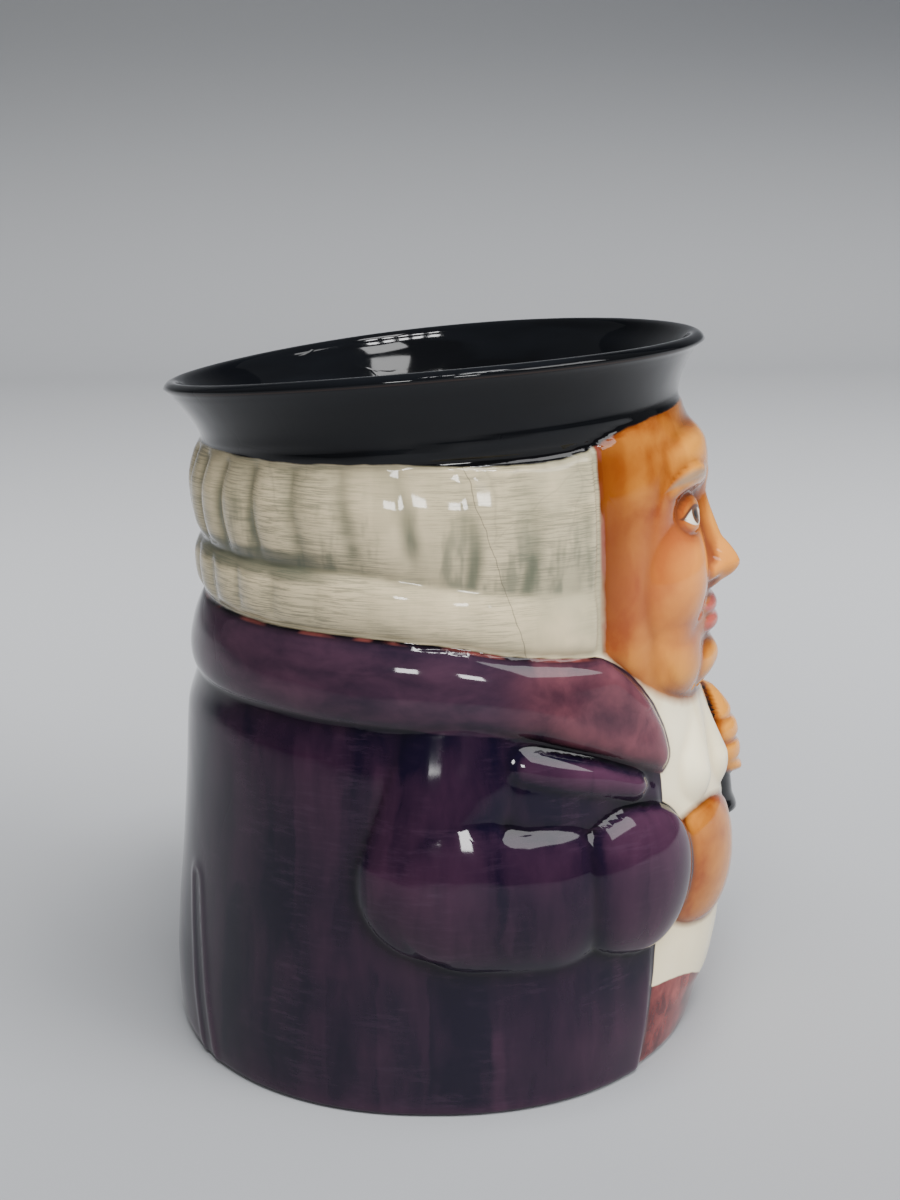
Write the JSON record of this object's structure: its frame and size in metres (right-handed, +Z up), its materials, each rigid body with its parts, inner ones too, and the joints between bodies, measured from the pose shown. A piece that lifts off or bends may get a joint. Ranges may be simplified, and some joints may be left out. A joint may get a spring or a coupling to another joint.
{
  "type": "toby jug",
  "caption": "Hollow glazed jug cast as a seated man in hat, wig and coat with a small mug in hand; the hat brim is the mouth.",
  "frame": {"origin": "centre of the bounding box at the underside", "axes": "+Z up, the figure looks along -Y, its right hand is on the -X side"},
  "size_m": [0.103, 0.1018, 0.12],
  "materials": {
    "glazed_earthenware": "gloss glaze over painted colours"
  },
  "bodies": {
    "root": {"jug": "glazed_earthenware"}
  },
  "joints": []
}
